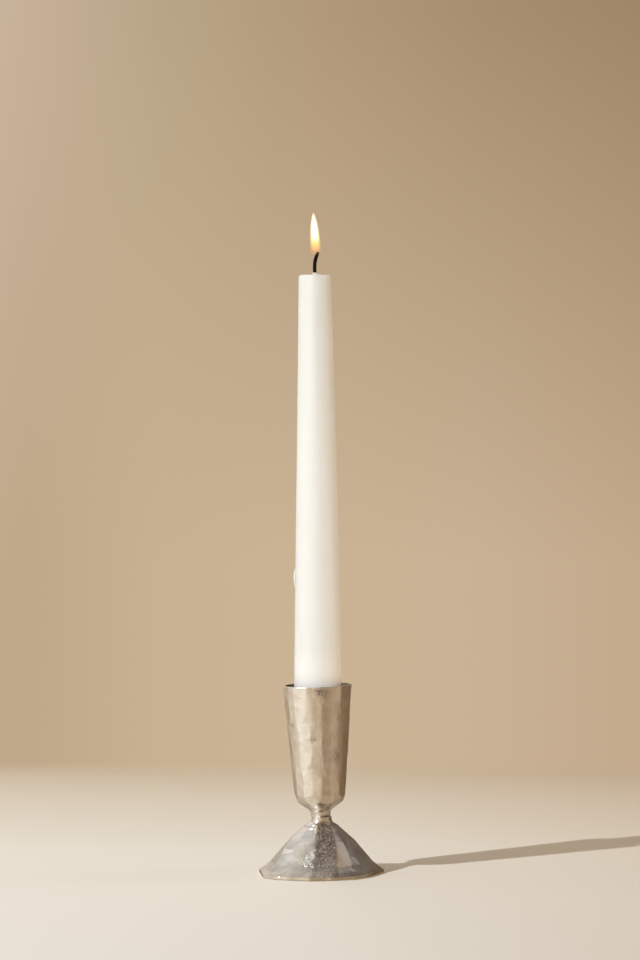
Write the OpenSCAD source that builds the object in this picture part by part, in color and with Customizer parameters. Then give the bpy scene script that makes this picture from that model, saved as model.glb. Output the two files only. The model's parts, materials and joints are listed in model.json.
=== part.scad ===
// Carved silver candlestick: a leaning cup bolted through a weighted foot, with a taper candle in it.
// The origin is on the table, under the middle of the foot. +Z is up and -Y is the front.
// A bearing is an angle about +Z, counted from the front towards +X. All sizes are in millimetres.

/* [Foot] */
// Height of the seam where the cup stands on the foot
seam_z = 26; // [25.5:0.5:27]
// Height of the upright lip round the foot
lip_h = 1; // [0.6:0.2:1.6]
// Thickness of the foot's wall at its thinnest
foot_wall = 2.4; // [2:0.2:3]
// Height of the foot's rim above the table, which the felt keeps clear
rim_gap = 0.2; // [0.2:0.1:0.6]

/* [Cup] */
// Height of the cup from its seam to its rim
cup_h = 60.2; // [58:0.2:64]
// Reach of the cup's flats from its axis at the rim
cup_rim_reach = 15.5; // [15.4:0.1:16.4]
// Reach of the cup's flats where the upper and lower rows meet
cup_mid_reach = 13.7; // [13.6:0.1:14]
// Radius of the cup's short stem
stem_r = 4.5; // [4.3:0.1:5]
// Lean of the cup from upright, towards -X
cup_lean = 1.5; // [0:0.1:1.8]

/* [Candle] */
// Diameter of the candle at its foot
candle_d = 22; // [21.4:0.1:22.2]
// Diameter of the candle at its top
candle_tip_d = 14.4; // [12:0.2:18]
// Length of the candle, from its foot to its top edge
candle_l = 225; // [120:1:260]
// Depth of the candle's foot below the rim
socket_depth = 37; // [34:0.5:38]
// Lean of the candle from upright, towards -X
candle_lean = 0.4; // [0:0.1:0.8]
// Diameter of the wick
wick_d = 1.6; // [1.2:0.1:2]

/* [Hardware] */
// Diameter of the threaded stud
stud_d = 5; // [4:0.5:5]
// Length of the stud's thread inside the cup's stem
stud_bite = 9; // [6:0.5:10]
// Thickness of the felt pad
felt_t = 1.5; // [1:0.1:1.8]

/* [Hidden] */
$fn = 96;
far = 60;                      // past every outside face
skin = 0.15;                   // clearance of the candle in its seat
running = 0.05;                // clearance of the thread and of the hardware

// Carved flats, as bearing and reach from the axis, going round from the left
foot_flats = [[-83, 28.3], [-41, 29.8], [-14, 27.2], [8, 25.8], [28, 25.8], [47, 25.6], [64, 25.5],
              [92, 28.6], [116, 27.2], [140, 27.3], [166, 26.5], [193, 26.9], [220, 27.3], [248, 28]];
collar_flats = [[-50, 0.2], [-8, 0], [30, 0.3], [85, 0.1], [140, 0.2], [200, 0], [255, 0.2]];
upper_flats = [-70, -34, -4, 16, 31, 56, 86, 112, 138, 166, 192, 218, 244, 268];
lower_flats = [-74, -48, -27, -6, 17, 34, 60, 88, 115, 141, 165, 190, 214, 238, 262];
bowl_flats = [-78, -36, 4, 42, 84, 128, 170, 212, 250];

// The foot
crown = [6.9, 22.4];           // where the flats of the foot run out below its collar, as radius and height
foot_core_r = 31.6;            // the foot before carving
least_reach = min([for (f = foot_flats) f[1]]);
hollow_r = least_reach + rim_gap + lip_h - foot_wall * sqrt(2);  // of the 45 degree hollow, at the table
hollow_top = 15;               // underside of the boss that the stud passes through
ballast_gap = 0.6;             // between the ballast and the foot's wall

// The cup, in its own frame: its axis is the stud's and its height is from the seam
cup_x = -0.5;                  // the cup stands a little to the left on the foot
cup_core_out = 0.7;            // how far the cup before carving stands out past its flats
row_h = 36;                    // height where the upper and lower rows of flats meet
row_leans = [4.1, 5];          // how far the upper and lower flats lean outwards
wall_lean = 4.5;               // lean of the cup before carving
stem_fillet = 3.4;
stem_fillet_at = [stem_r + stem_fillet, 1.2];
bowl_round = 5;
bowl_round_at = [7.2, 10.6];
bowl_cut = 4.75;               // distance of the bowl's flats from the middle of its rounding

// The candle's socket and the candle share one frame, with its height from the candle's foot
seat_z = seam_z + cup_h - socket_depth;
seat_x = cup_x - (cup_h - socket_depth) * sin(cup_lean) - 0.6;
seat_r = candle_d / 2 + skin;
seat_h = 6;                    // the socket is straight this far up, and opens out above
mouth_r = 14.7;                // inside radius at the rim
taper_power = 1.5;             // how late the candle starts to narrow

// Hardware under the foot, as heights in the cup's frame
loose = 0.25;                  // clearance where the stud only passes through
washer_r = 5;
washer_t = 1;
spring_r = 4.4;
spring_t = 1.2;
nut_t = 4;
nut_flats = 8;                 // across the flats
well_r = 6.6;                  // the well in the ballast that the nut sits in
well_top = -17;
nut_z = well_top - washer_t - spring_t - nut_t;
stud_end = nut_z - 0.7;

// Points along an arc, as angles from the centre
function arc(centre, r, from, to, steps = 8) =
    [for (i = [0:steps]) let (a = from + (to - from) * i / steps) centre + r * [cos(a), sin(a)]];

// Radius of the candle at a height above its foot
function candle_r(h) = candle_d / 2 - (candle_d - candle_tip_d) / 2 * pow(h / candle_l, taper_power);

module cup_frame() {
    translate([cup_x, 0, seam_z]) rotate([0, -cup_lean, 0]) children();
}

module candle_frame() {
    translate([seat_x, 0, seat_z]) rotate([0, -candle_lean, 0]) children();
}

// What a chisel takes off on one bearing: everything outside the side view
module chisel(bearing, side_view) {
    rotate([0, 0, bearing - 90])
        rotate([90, 0, 0])
            linear_extrude(height = 2 * far, center = true)
                polygon(side_view);
}

// Side view of a flat that leans outwards by an angle and passes through a radius at a height
function leaning_flat(r, h, lean) =
    [[r - (h + far) * tan(lean), -far], [r + far * tan(lean), h + far],
     [2 * far, h + far], [2 * far, -far]];

module cup_core() {
    rim_core = cup_rim_reach + cup_core_out;
    rotate_extrude()
        polygon(concat(
            [[0, 0], [stem_r, 0]],
            arc(stem_fillet_at, stem_fillet, 180, 122, 6),
            arc(bowl_round_at, bowl_round, -58, -wall_lean, 8),
            [[rim_core, cup_h], [0, cup_h]]));
}

module bowl_flat(bearing) {
    at = bowl_round_at + bowl_cut * [cos(45), -sin(45)];
    chisel(bearing, [at + far * [-1, -1], at + 3 * [1, 1], at + [far, -far]]);
}

module carved_cup() {
    difference() {
        cup_core();
        for (b = upper_flats) chisel(b, leaning_flat(cup_rim_reach, cup_h, row_leans[0]));
        for (b = lower_flats) chisel(b, leaning_flat(cup_mid_reach, row_h, row_leans[1]));
        for (b = bowl_flats) bowl_flat(b);
    }
}

module socket() {
    over = 4;                  // runs out past the rim
    slope = (mouth_r - seat_r) / (socket_depth - seat_h);
    rotate_extrude()
        polygon([[0, 0], [seat_r, 0], [seat_r, seat_h],
                 [mouth_r + over * slope, socket_depth + over], [0, socket_depth + over]]);
}

module cup() {
    color("silver") difference() {
        cup_frame() carved_cup();
        candle_frame() socket();
        cup_frame() translate([0, 0, -1]) cylinder(r = stud_d / 2 + running, h = stud_bite + 2);
    }
}

module foot_core() {
    collar_r = stem_r + 0.1;
    fillet = 3;
    fillet_top = crown[1] + 2.8;
    spare = 2;                 // the cut at the seam takes this off
    rotate_extrude()
        polygon(concat(
            [[0, rim_gap], [foot_core_r, rim_gap], [foot_core_r, rim_gap + lip_h],
             crown + [1.2, 0]],
            arc([collar_r + fillet, fillet_top], fillet, 240, 180, 6),
            [[collar_r, seam_z + spare], [0, seam_z + spare]]));
}

module foot_flat(bearing, reach) {
    lip = rim_gap + lip_h;
    chisel(bearing, [[reach, -far], [reach, lip], crown, crown + [far, far], [2 * far, -far]]);
}

// A short flat that leads from the cone up into the collar
module collar_flat(bearing, out) {
    slope = 38;
    run = 8;                   // longer than the flat, so that it runs out on the cone
    high = [5.2 + out, crown[1] + 1];
    low = high + run * [1, -tan(slope)];
    chisel(bearing, [low, high, [high[0], far], [2 * far, far], [2 * far, low[1]]]);
}

// The hollow under the foot, or what fills it to within a gap
module hollow(bottom, gap) {
    rotate_extrude()
        polygon([[0, bottom], [hollow_r - gap - bottom, bottom],
                 [hollow_r - gap - hollow_top, hollow_top], [0, hollow_top]]);
}

module stud_hole(extra) {
    cup_frame() translate([0, 0, -far]) cylinder(r = stud_d / 2 + extra, h = 2 * far);
}

module carved_foot() {
    difference() {
        foot_core();
        for (f = foot_flats) foot_flat(f[0], f[1]);
    }
}

module foot() {
    color("silver") difference() {
        carved_foot();
        for (f = collar_flats) collar_flat(f[0], f[1]);
        hollow(-1, 0);
        stud_hole(loose);
        cup_frame() translate([-far, -far, 0]) cube([2 * far, 2 * far, far]);
    }
}

module stud() {
    chamfer = 0.5;
    r = stud_d / 2;
    top = stud_bite;
    color("gray") cup_frame() rotate_extrude()
        polygon([[0, stud_end], [r - chamfer, stud_end], [r, stud_end + chamfer],
                 [r, top - chamfer], [r - chamfer, top], [0, top]]);
}

module ballast() {
    color("dimgray") difference() {
        hollow(felt_t, ballast_gap);
        stud_hole(loose);
        cup_frame() translate([0, 0, well_top - far]) cylinder(r = well_r, h = far);
    }
}

module ring(outer, thickness) {
    difference() {
        cylinder(r = outer, h = thickness);
        translate([0, 0, -1]) cylinder(r = stud_d / 2 + running, h = thickness + 2);
    }
}

module washer() {
    color("lightgray") cup_frame() translate([0, 0, well_top - washer_t]) ring(washer_r, washer_t);
}

module spring_washer() {
    slit = 0.8;
    slant = 18;
    reach = 10;
    color("gray") cup_frame() translate([0, 0, well_top - washer_t - spring_t]) difference() {
        ring(spring_r, spring_t);
        rotate([slant, 0, 0]) translate([0, -slit / 2, -reach / 2]) cube([reach, slit, reach]);
    }
}

module nut() {
    corner = nut_flats / 2 / cos(30);
    bevel = 0.45;
    color("lightgray") cup_frame() translate([0, 0, nut_z]) difference() {
        intersection() {
            cylinder(r = corner, h = nut_t, $fn = 6);
            rotate_extrude()
                polygon([[0, 0], [corner - bevel * 2, 0], [corner, bevel], [corner, nut_t - bevel],
                         [corner - bevel * 2, nut_t], [0, nut_t]]);
        }
        translate([0, 0, -1]) cylinder(r = stud_d / 2 + running, h = nut_t + 2);
    }
}

module felt_pad() {
    color("darkgreen") cylinder(r = hollow_r - felt_t - ballast_gap, h = felt_t);
}

// The candle's outside: a late taper, a softened top edge, a shallow pool and a mound round the wick
module candle_shape() {
    steps = 14;
    edge = 0.9;
    chamfer = 0.4;
    pool_r = candle_tip_d * 0.26;
    pool_depth = 0.5;
    mound = [wick_d / 2 + 0.3, candle_l + 1.3];
    body = candle_l - edge;
    rotate_extrude()
        polygon(concat(
            [[0, 0], [candle_d / 2 - chamfer, 0], [candle_d / 2, chamfer]],
            [for (i = [1:steps]) let (h = body * i / steps) [candle_r(h), h]],
            arc([candle_r(body) - edge, body], edge, 18, 90, 4),
            [[pool_r, candle_l - pool_depth], [pool_r / 2, candle_l - pool_depth / 2], mound,
             [0, mound[1]]]));
}

module candle() {
    color("ivory") candle_frame() difference() {
        candle_shape();
        translate([0, 0, -1]) cylinder(r = wick_d / 2, h = candle_l + far);
    }
}

// A run of wax that set on the left of the candle, with its own back following the candle
module wax_drip() {
    length = 14.5;
    swell = 1.7;
    proud = 0.75;
    blunt = 0.75;              // below 1, the drip swells quickly and runs out slowly
    top = 91.5;
    wall = candle_r(top - length / 2);
    color("ivory") candle_frame() difference() {
        translate([swell - wall - proud, 0, top]) rotate_extrude()
            polygon(concat([[0, 0]],
                [for (i = [1:9]) let (t = i / 10) [swell * sin(180 * pow(t, blunt)), -length * t]],
                [[0, -length]]));
        candle_shape();
    }
}

// The wick runs the whole length of the candle and bends over to the right above it
module wick() {
    r = wick_d / 2;
    bend = 24;
    bend_r = 14;
    straight = candle_l + 3.4;
    thinner = 0.06;            // each stretch is burnt a little thinner than the one below
    lap = 0.2;
    tip = 1.2;
    color([0.12, 0.1, 0.09]) candle_frame() {
        cylinder(r = r, h = straight);
        translate([bend_r, 0, straight - lap]) {
            rotate([90, 0, 0]) rotate([0, 0, 180 - bend])
                rotate_extrude(angle = bend) translate([bend_r, 0]) circle(r = r - thinner);
            rotate([0, bend, 0]) translate([-bend_r, 0, -lap])
                cylinder(r1 = r - 2 * thinner, r2 = r / 2, h = tip + lap);
        }
    }
}

cup();
foot();
stud();
ballast();
washer();
spring_washer();
nut();
felt_pad();
candle();
wax_drip();
wick();
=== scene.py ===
import json
import math
import random

import bpy
import numpy as np
from mathutils import Matrix, Vector, noise


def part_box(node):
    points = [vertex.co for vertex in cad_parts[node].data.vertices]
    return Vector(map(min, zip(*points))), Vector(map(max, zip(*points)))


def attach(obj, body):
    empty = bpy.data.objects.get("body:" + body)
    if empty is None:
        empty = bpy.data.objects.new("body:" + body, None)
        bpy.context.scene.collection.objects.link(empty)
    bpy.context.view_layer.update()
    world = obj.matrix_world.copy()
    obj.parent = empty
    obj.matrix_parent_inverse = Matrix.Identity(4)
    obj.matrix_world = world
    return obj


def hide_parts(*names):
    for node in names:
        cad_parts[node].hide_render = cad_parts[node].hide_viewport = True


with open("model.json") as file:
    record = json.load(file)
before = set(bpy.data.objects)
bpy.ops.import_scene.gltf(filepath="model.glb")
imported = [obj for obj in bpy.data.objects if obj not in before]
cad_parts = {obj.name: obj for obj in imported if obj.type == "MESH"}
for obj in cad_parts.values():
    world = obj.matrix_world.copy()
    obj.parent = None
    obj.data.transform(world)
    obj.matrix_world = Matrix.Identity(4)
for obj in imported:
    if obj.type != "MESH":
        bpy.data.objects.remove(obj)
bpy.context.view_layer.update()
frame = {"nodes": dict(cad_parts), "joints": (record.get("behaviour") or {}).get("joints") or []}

mm = 0.001


def feed(tree, node, values):
    # each value is a number, a colour or another node's output
    for key, value in values.items():
        if isinstance(value, bpy.types.NodeSocket):
            tree.links.new(value, node.inputs[key])
        else:
            node.inputs[key].default_value = value


def addNode(tree, kind, values=None, **props):
    node = tree.nodes.new(kind)
    for name, value in props.items():
        setattr(node, name, value)
    feed(tree, node, values or {})
    return node


def addObject(name, data):
    ob = bpy.data.objects.new(name, data)
    bpy.context.collection.objects.link(ob)
    return ob


def maths(tree, operation, *values):
    return addNode(tree, "ShaderNodeMath", dict(enumerate(values)), operation=operation).outputs[0]


def vecMaths(tree, operation, *values):
    keys = (0, "Scale" if operation == "SCALE" else 1)
    node = addNode(tree, "ShaderNodeVectorMath", dict(zip(keys, values)), operation=operation)
    return node.outputs["Value" if operation in ("DOT_PRODUCT", "LENGTH") else "Vector"]


def partsOf(tree, vector):
    return addNode(tree, "ShaderNodeSeparateXYZ", {0: vector}).outputs


def remap(tree, value, fromLow, fromHigh, toLow, toHigh):
    return addNode(tree, "ShaderNodeMapRange", {"Value": value, "From Min": fromLow, "From Max": fromHigh,
                                                "To Min": toLow, "To Max": toHigh}).outputs[0]


def noiseOf(tree, where, size, detail=3.0, rough=0.55):
    # a noise whose lumps are about the size given, in metres
    return addNode(tree, "ShaderNodeTexNoise", {"Vector": where, "Scale": 1 / size, "Detail": detail,
                                                "Roughness": rough}).outputs[0]


def namedValue(tree, name, kind="FLOAT"):
    return addNode(tree, "GeometryNodeInputNamedAttribute", {"Name": name}, data_type=kind).outputs[0]


def storeValue(tree, geometry, name, value):
    values = {"Geometry": geometry, "Name": name, "Value": value}
    node = addNode(tree, "GeometryNodeStoreNamedAttribute", values, data_type="FLOAT", domain="POINT")
    return node.outputs["Geometry"]


def newTree(name, inputs):
    # a geometry tree with its named inputs, each a socket kind and a starting value
    tree = bpy.data.node_groups.new(name, "GeometryNodeTree")
    face = tree.interface
    face.new_socket(name="Geometry", in_out="INPUT", socket_type="NodeSocketGeometry")
    for label, (kind, value) in inputs.items():
        socket = face.new_socket(name=label, in_out="INPUT", socket_type="NodeSocket" + kind)
        if value is not None:
            socket.default_value = value
    face.new_socket(name="Geometry", in_out="OUTPUT", socket_type="NodeSocketGeometry")
    start = tree.nodes.new("NodeGroupInput").outputs
    end = tree.nodes.new("NodeGroupOutput").inputs[0]
    return tree, start, end


def repeatZone(tree, count):
    # a repeat zone with one geometry going round it
    zoneIn = tree.nodes.new("GeometryNodeRepeatInput")
    zoneOut = tree.nodes.new("GeometryNodeRepeatOutput")
    zoneIn.pair_with_output(zoneOut)
    zoneOut.repeat_items.clear()
    zoneOut.repeat_items.new("GEOMETRY", "Geometry")
    feed(tree, zoneIn, {"Iterations": count})
    return zoneIn, zoneOut


def finishTree(tree, geometry, material, end):
    real = addNode(tree, "GeometryNodeRealizeInstances", {"Geometry": geometry}).outputs[0]
    smooth = addNode(tree, "GeometryNodeSetShadeSmooth", {"Geometry": real}).outputs[0]
    dressed = addNode(tree, "GeometryNodeSetMaterial", {"Geometry": smooth, "Material": material})
    tree.links.new(dressed.outputs[0], end)


def runTree(blank, tree, values, name, place=Matrix.Identity(4)):
    # runs a tree on a blank and keeps its result as a plain mesh, put in its place
    modifier = blank.modifiers.new("build", "NODES")
    modifier.node_group = tree
    for item in tree.interface.items_tree:
        if item.in_out == "INPUT" and item.name in values:
            modifier[item.identifier] = values[item.name]
    bpy.context.view_layer.update()
    graph = bpy.context.evaluated_depsgraph_get()
    mesh = bpy.data.meshes.new_from_object(blank.evaluated_get(graph), depsgraph=graph)
    blank.modifiers.remove(modifier)
    bpy.data.objects.remove(blank)
    mesh.name = name
    mesh.transform(place)
    mesh.update()
    return addObject(name, mesh)


def spaced(points, step):
    # points along a line no further apart than the step, keeping its corners
    out = [points[0]]
    for a, b in zip(points, points[1:]):
        count = max(1, math.ceil(math.dist(a, b) / step))
        for i in range(1, count + 1):
            t = i / count
            out.append((a[0] + (b[0] - a[0]) * t, a[1] + (b[1] - a[1]) * t))
    return out


def arc(cx, cy, r, start, stop, count):
    angles = [math.radians(start + (stop - start) * i / count) for i in range(count + 1)]
    return [(cx + r * math.cos(a), cy + r * math.sin(a)) for a in angles]


def lathe(name, rings, sides, centre=None, closed=False):
    # a closed turned shape; each ring is (radius, height) in millimetres, and a radius of 0 is a pole
    verts, faces, starts = [], [], []
    for radius, height in rings:
        starts.append(len(verts))
        middle = centre(height) if centre else (0.0, 0.0)
        if radius == 0:
            verts.append((middle[0] * mm, middle[1] * mm, height * mm))
            continue
        for j in range(sides):
            a = 2 * math.pi * j / sides
            x, y = middle[0] + radius * math.sin(a), middle[1] - radius * math.cos(a)
            verts.append((x * mm, y * mm, height * mm))
    for k in range(len(rings) if closed else len(rings) - 1):
        n = (k + 1) % len(rings)
        low, high = starts[k], starts[n]
        for j in range(sides):
            after = (j + 1) % sides
            if rings[k][0] == 0:
                faces.append((low, high + after, high + j))
            elif rings[n][0] == 0:
                faces.append((low + j, low + after, high))
            else:
                faces.append((low + j, low + after, high + after, high + j))
    mesh = bpy.data.meshes.new(name)
    mesh.from_pydata(verts, [], faces)
    mesh.validate()
    return addObject(name, mesh)


def setValues(mesh, name, values, kind="FLOAT"):
    layer = mesh.attributes.new(name, kind, "POINT")
    key = "vector" if kind == "FLOAT_VECTOR" else "value"
    layer.data.foreach_set(key, np.asarray(values, dtype=np.float32).ravel())


def pointList(name, rows, keys):
    # loose points that carry one named value for each key
    mesh = bpy.data.meshes.new(name)
    mesh.from_pydata([(0, 0, 0)] * len(rows), [], [])
    for k, key in enumerate(keys):
        setValues(mesh, key, [row[k] for row in rows])
    return addObject(name, mesh)


def smoothAll(ob):
    ob.data.polygons.foreach_set("use_smooth", [True] * len(ob.data.polygons))
    ob.data.update()


def newMaterial(name, **settings):
    mat = bpy.data.materials.new(name)
    mat.use_nodes = True
    tree = mat.node_tree
    shader = tree.nodes["Principled BSDF"]
    for key, value in settings.items():
        shader.inputs[key.replace("_", " ")].default_value = value
    where = addNode(tree, "ShaderNodeTexCoord").outputs["Object"]
    return mat, tree, shader, where


def savedValue(tree, name):
    return addNode(tree, "ShaderNodeAttribute", attribute_name=name).outputs["Fac"]


def rampOf(tree, value, stops):
    node = addNode(tree, "ShaderNodeValToRGB", {"Fac": value})
    ramp = node.color_ramp
    while len(ramp.elements) < len(stops):
        ramp.elements.new(0.5)
    for element, (at, colour) in zip(ramp.elements, stops):
        element.position = at
        element.color = (*colour, 1.0)
    return node.outputs[0]


def mixOf(tree, factor, low, high, blend="MIX"):
    node = addNode(tree, "ShaderNodeMix", {0: factor, 6: low, 7: high}, data_type="RGBA", blend_type=blend)
    return node.outputs[2]


def squashed(tree, where, share):
    # the same place with its height drawn out, for streaks that run up and down
    return addNode(tree, "ShaderNodeMapping", {"Vector": where, "Scale": (1.0, 1.0, share)}).outputs[0]


def bumpOn(tree, height, depth, before=None):
    node = addNode(tree, "ShaderNodeBump", {"Height": height, "Distance": depth})
    if before is not None:
        tree.links.new(before, node.inputs["Normal"])
    return node.outputs[0]


# the grit's darkness is partly painted shade, deepest on the foot
silverLook = {
    "cup": dict(bright=(0.94, 0.92, 0.89), dull=(0.86, 0.83, 0.78), rough=0.15, spread=0.05, haze=0.14,
                ripple=0.07, streak=0.13, grainDepth=0.14, grainAndShadeDark=0.8),
    "foot": dict(bright=(0.93, 0.91, 0.885), dull=(0.72, 0.70, 0.675), rough=0.19, spread=0.08, haze=0.12,
                 ripple=0.10, streak=0.07, grainDepth=0.52, grainAndShadeDark=0.93),
}


def carvedSilver(name, look):
    # polished metal over a hazy cast skin, sandy where the grain-and-shade value says so; the sandy grit is
    # painted dark, partly its own colour and partly painted shade standing in for a dark reflection
    mat, tree, shader, where = newMaterial(name, Metallic=1.0)
    grain, ridge, inward = (savedValue(tree, key) for key in ("grain", "ridge", "inward"))
    height = partsOf(tree, where)[2]
    colour = rampOf(tree, noiseOf(tree, where, 7 * mm), [(0.35, look["dull"]), (0.6, look["bright"])])
    nearTable = remap(tree, height, 2.0 * mm, 6.5 * mm, 0.4, 0.0)
    colour = mixOf(tree, nearTable, colour, (0.80, 0.72, 0.58, 1.0), "MULTIPLY")
    tarnish = remap(tree, inward, 0.85, 1.0, 0.0, 0.9)
    colour = mixOf(tree, tarnish, colour, (0.20, 0.15, 0.105, 1.0))
    specks = addNode(tree, "ShaderNodeTexVoronoi", {"Vector": where, "Scale": 1 / (5.5 * mm)})
    pits = remap(tree, specks.outputs["Distance"], 0.03, 0.06, 1.0, 0.0)
    sand = noiseOf(tree, where, 0.8 * mm, 3.0, 0.72)
    fadeAtLip = remap(tree, height, 2.0 * mm, 6.0 * mm, 0.3, 1.0)  # the sandy darkening and its painted shade fade out down at the lip
    # the sandy grit is painted dark, partly the metal's own grit and partly painted shade standing in for the
    # dark reflection in the foot's middle; pits are darkened as well
    shade = maths(tree, "MULTIPLY", maths(tree, "MULTIPLY", grain, fadeAtLip),
                  remap(tree, sand, 0.60, 0.47, 0.08, look["grainAndShadeDark"]))
    shade = maths(tree, "MAXIMUM", shade, maths(tree, "MULTIPLY", pits, 0.5))
    colour = mixOf(tree, shade, colour, (0.135, 0.12, 0.115, 1.0))

    smears = noiseOf(tree, where, 3.5 * mm)
    rough = remap(tree, smears, 0.3, 0.7, look["rough"] - look["spread"], look["rough"] + look["spread"])
    rough = maths(tree, "MULTIPLY_ADD", grain, 0.12, rough)
    rough = maths(tree, "MULTIPLY_ADD", ridge, -0.05, rough)

    normal = bumpOn(tree, noiseOf(tree, where, 2.4 * mm, 2.0), look["ripple"] * mm)
    streaks = noiseOf(tree, squashed(tree, where, 0.22), 2.0 * mm, 2.0)
    normal = bumpOn(tree, streaks, look["streak"] * mm, normal)
    normal = bumpOn(tree, noiseOf(tree, where, 0.35 * mm, 3.0, 0.7), 0.004 * mm, normal)
    crumbs = maths(tree, "MULTIPLY", maths(tree, "SUBTRACT", sand, 0.5), grain)
    normal = bumpOn(tree, crumbs, look["grainDepth"] * mm, normal)
    normal = bumpOn(tree, maths(tree, "SUBTRACT", 1.0, pits), 0.03 * mm, normal)
    feed(tree, shader, {"Base Color": colour, "Roughness": rough, "Normal": normal})

    hazy = addNode(tree, "ShaderNodeBsdfPrincipled", {
        "Metallic": 1.0, "Roughness": 0.55, "Base Color": colour, "Normal": normal})
    both = addNode(tree, "ShaderNodeMixShader", {0: look["haze"], 1: shader.outputs[0], 2: hazy.outputs[0]})
    feed(tree, tree.nodes["Material Output"], {"Surface": both.outputs[0]})
    return mat


# painted light on the wax, from the cup's rim up to its top: painted brightest just above the rim to cancel
# the cup's shade there, and a little darker towards the top
waxPaintedLight = [(0.0, (0.985, 0.965, 0.915)), (0.035, (0.935, 0.93, 0.90)), (0.09, (0.85, 0.852, 0.83)),
            (0.5, (0.84, 0.845, 0.822)), (1.0, (0.79, 0.80, 0.785))]


def waxMaterial(name, glowDepth):
    mat, tree, shader, where = newMaterial(
        name, IOR=1.44, Subsurface_Weight=1.0, Subsurface_Scale=glowDepth * mm,
        Subsurface_Radius=(1.0, 0.93, 0.84), Coat_Weight=0.12, Coat_Roughness=0.35)
    drawn = squashed(tree, where, 0.12)
    streaks = noiseOf(tree, drawn, 3.0 * mm)
    streaky = rampOf(tree, streaks, [(0.3, (0.965, 0.965, 0.96)), (0.7, (1.0, 1.0, 1.0))])
    rise = remap(tree, partsOf(tree, where)[2], cupTop.z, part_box("candle")[1][2], 0.0, 1.0)
    soft = bumpOn(tree, noiseOf(tree, drawn, 2.0 * mm, 2.0), 0.03 * mm)
    feed(tree, shader, {
        "Base Color": mixOf(tree, 1.0, streaky, rampOf(tree, rise, waxPaintedLight), "MULTIPLY"),
        "Normal": bumpOn(tree, noiseOf(tree, where, 0.5 * mm, 2.0), 0.006 * mm, soft),
        "Roughness": remap(tree, noiseOf(tree, where, 5 * mm), 0.3, 0.7, 0.36, 0.5)})
    return mat


def plainFinish(name, clouds, stops, relief, depth, gloss=None, **settings):
    # clouds of colour, and of gloss where it is given as a range, over a fine relief
    mat, tree, shader, where = newMaterial(name, **settings)
    cloudy = noiseOf(tree, where, *clouds)
    bump = bumpOn(tree, noiseOf(tree, where, *relief), depth)
    feed(tree, shader, {"Base Color": rampOf(tree, cloudy, stops), "Normal": bump})
    if gloss:
        feed(tree, shader, {"Roughness": remap(tree, cloudy, 0.3, 0.7, *gloss)})
    return mat


def charredCottonMaterial():
    ash = (0.35 * mm, 4.0)
    return plainFinish("charredCotton", ash, [(0.45, (0.003, 0.0025, 0.002)), (0.8, (0.03, 0.025, 0.022))],
                       ash, 0.08 * mm, Roughness=0.95, Specular_IOR_Level=0.1)


def steelMaterial():
    return plainFinish("platedSteel", (2 * mm, 4.0), [(0.3, (0.50, 0.49, 0.46)), (0.7, (0.66, 0.66, 0.64))],
                       (0.25 * mm, 3.0), 0.006 * mm, gloss=(0.28, 0.45), Metallic=1.0)


def castIronMaterial():
    rusty = [(0.35, (0.045, 0.045, 0.048)), (0.6, (0.10, 0.10, 0.10)), (0.8, (0.16, 0.10, 0.07))]
    return plainFinish("ballastIron", (4 * mm, 5.0), rusty, (1.2 * mm, 4.0, 0.65), 0.12 * mm,
                       gloss=(0.55, 0.8), Metallic=0.6)


def feltMaterial():
    tangle = (0.5 * mm, 6.0, 0.7)
    return plainFinish("greenFelt", tangle, [(0.3, (0.035, 0.085, 0.05)), (0.7, (0.09, 0.17, 0.11))],
                       tangle, 0.15 * mm, Roughness=0.95, Sheen_Weight=0.5, Sheen_Roughness=0.5)


def flameMaterial(name, colourStops, strength, solidity):
    # a glowing film: its colour and its cover follow the height along the flame
    mat, tree, shader, _ = newMaterial(name)
    tree.nodes.remove(shader)
    rise = savedValue(tree, "rise")
    colour = rampOf(tree, rise, colourStops)
    glow = addNode(tree, "ShaderNodeEmission", {"Color": colour, "Strength": strength})
    clear = addNode(tree, "ShaderNodeBsdfTransparent")
    cover = rampOf(tree, rise, [(at, (v, v, v)) for at, v in solidity])
    film = addNode(tree, "ShaderNodeMixShader", {0: cover, 1: clear.outputs[0], 2: glow.outputs[0]})
    feed(tree, tree.nodes["Material Output"], {"Surface": film.outputs[0]})
    return mat


flatKeys = ("turn", "twist", "offset", "slope", "low", "high", "grain")
markKeys = ("markTurn", "markHeight", "markWide", "markTall", "markDepth", "markRough")
blankKeys = ("along", "base", "core", "tuck")  # lengths that each ring of a blank carries


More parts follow.
